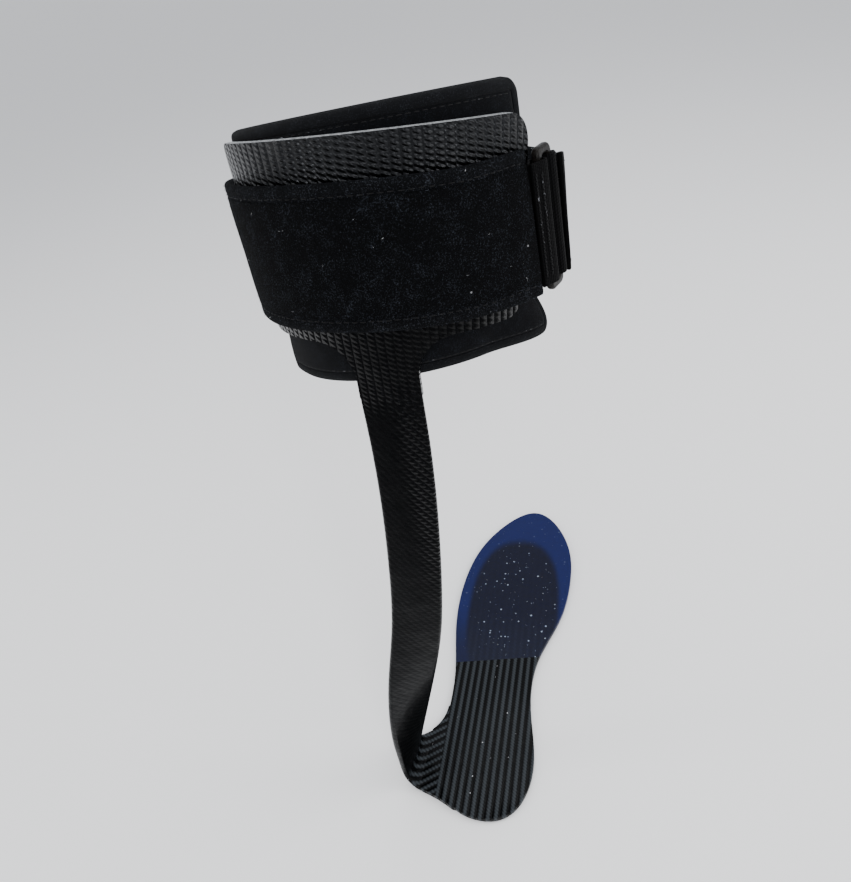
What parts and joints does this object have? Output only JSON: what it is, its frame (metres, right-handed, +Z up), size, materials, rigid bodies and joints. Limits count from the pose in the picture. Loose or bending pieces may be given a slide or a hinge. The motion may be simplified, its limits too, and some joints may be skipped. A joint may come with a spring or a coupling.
{
  "type": "ankle foot orthosis",
  "caption": "Carbon ankle foot orthosis for a left foot: padded calf shell with a hook-and-loop strap, twisted side strut and a footplate with a blue toe sheet.",
  "frame": {"origin": "on the underside of the footplate, under the middle of the heel", "axes": "+X to the inner side of the foot, +Y to the toes, +Z up the leg"},
  "size_m": [0.1375, 0.2473, 0.3591],
  "materials": {
    "carbon": "clear-coated woven carbon laminate",
    "toe_plastic": "translucent blue plastic sheet",
    "hook_tape": "moulded hook tape",
    "pad_fabric": "brushed knit",
    "foam": "closed-cell foam",
    "edge_tape": "folded knit binding",
    "strap_lining": "smooth knit",
    "loop_pile": "brushed loop pile",
    "webbing": "loop webbing",
    "thread": "bonded thread",
    "ring_plastic": "moulded acetal"
  },
  "bodies": {
    "frame": {"carbon_frame": "carbon", "toe_sheet_upper": "toe_plastic", "toe_sheet_lower": "toe_plastic", "pad_hooks": "hook_tape", "strap_hooks": "hook_tape", "strap_lining": "strap_lining", "strap_foam": "foam", "strap_pile": "loop_pile", "strap_top_binding": "edge_tape", "strap_bottom_binding": "edge_tape", "ring_loop": "webbing", "loop_bar_tacks": "thread"},
    "pad": {"pad_backing": "pad_fabric", "pad_foam": "foam", "pad_lining": "pad_fabric", "pad_edge_tape": "edge_tape"},
    "ring": {"strap_ring": "ring_plastic", "front_fold": "webbing"},
    "tab": {"closing_tab": "webbing", "tab_hook": "hook_tape", "tab_grip": "webbing"}
  },
  "joints": [
    {"name": "ring_swivel", "type": "hinge", "parent": "frame", "child": "ring", "pos_m": [0.05058, 0.03869, 0.30424], "axis": [0.0406, -0.0757, -0.9963], "range_deg": [0, 12]},
    {"name": "tab_peel", "type": "hinge", "parent": "ring", "child": "tab", "pos_m": [0.05763, 0.05191, 0.30196], "axis": [0.0206, -0.0685, -0.9974], "range_deg": [0, 110]},
    {"name": "pad_lift", "type": "slide", "parent": "frame", "child": "pad", "axis": [0.0175, 0.2022, 0.9792], "range_m": [0, 0.06]}
  ]
}
